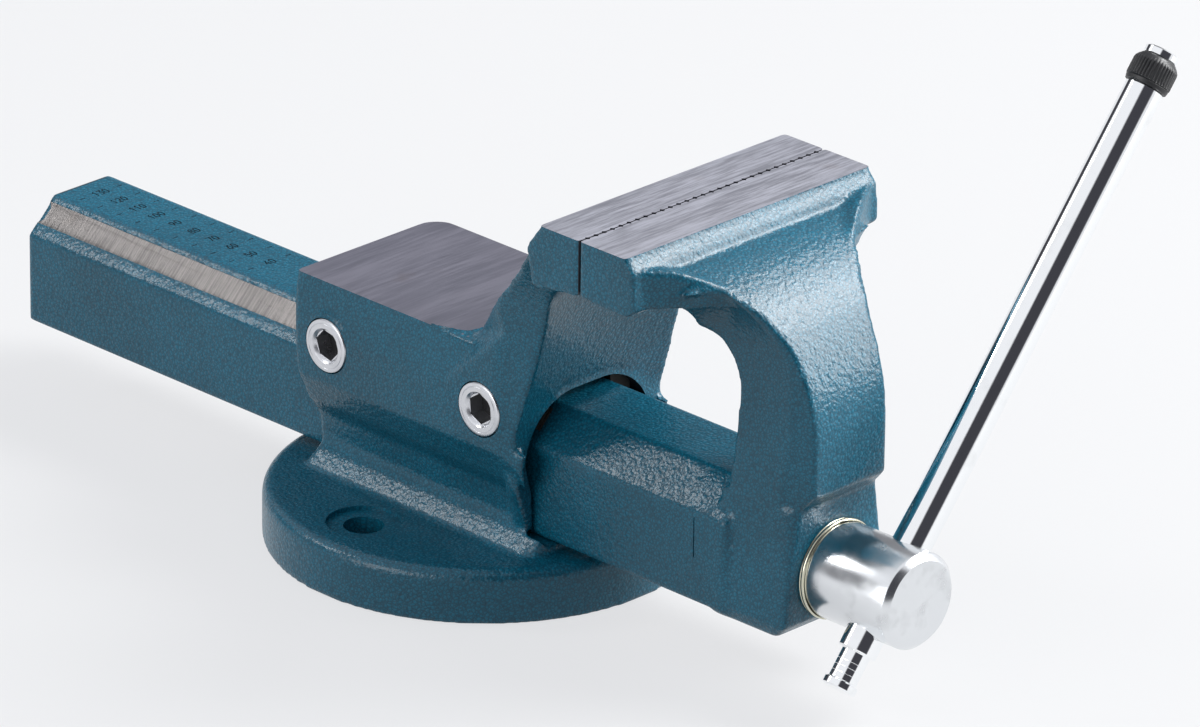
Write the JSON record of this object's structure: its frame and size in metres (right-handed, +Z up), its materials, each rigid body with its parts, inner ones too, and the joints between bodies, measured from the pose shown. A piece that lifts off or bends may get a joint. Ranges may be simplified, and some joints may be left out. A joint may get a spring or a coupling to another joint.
{
  "type": "bench vise",
  "caption": "Forged bench vise on a round bolt-down base, with an anvil, a sliding jaw on a chamfered guide, an enclosed spindle and a sliding tommy bar.",
  "frame": {"origin": "centre of the round base, on its underside", "axes": "+Z up, -Y towards the handle, +X across the jaws, to the right seen from the handle"},
  "size_m": [0.2149, 0.423, 0.2081],
  "materials": {
    "hammertone_paint": "hammertone gloss",
    "zinc_plate": "satin zinc plate",
    "bright_plate": "bright plate",
    "yellow_zinc": "yellow zinc plate",
    "steel": "turned",
    "black_oxide": "black oxide",
    "bronze": "machined",
    "ribbed_rubber": "ribbed"
  },
  "bodies": {
    "frame": {"fixed_body": "hammertone_paint", "spindle_nut": "bronze", "nut_screws": "black_oxide", "nut_washers": "zinc_plate", "gib_left": "bronze", "gib_right": "bronze", "adjuster_left_front": "zinc_plate", "adjuster_left_rear": "zinc_plate", "adjuster_right_front": "zinc_plate", "adjuster_right_rear": "zinc_plate"},
    "moving_jaw": {"sliding_jaw": "hammertone_paint", "spindle_collar": "yellow_zinc", "thrust_washer": "steel"},
    "screw": {"spindle": "zinc_plate", "retaining_ring": "black_oxide", "bar_grip_ring": "ribbed_rubber", "end_washer": "steel", "end_pin": "steel"},
    "handle": {"tommy_bar": "bright_plate", "bar_end_ring": "ribbed_rubber"}
  },
  "joints": [
    {"name": "jaw_slide", "type": "slide", "parent": "frame", "child": "moving_jaw", "axis": [0, -1, 0], "range_m": [0, 0.1368]},
    {"name": "spindle_turn", "type": "hinge", "parent": "moving_jaw", "child": "screw", "pos_m": [0, -0.16, 0.043], "axis": [0, -1, 0], "range_deg": [0, 9860]},
    {"name": "bar_slide", "type": "slide", "parent": "screw", "child": "handle", "axis": [-0.6327, 0, -0.7744], "range_m": [-0.0065, 0.1768]}
  ],
  "couplings": [
    {"joint": "spindle_turn", "follows": "jaw_slide", "rad_per_m": 1256.6}
  ]
}
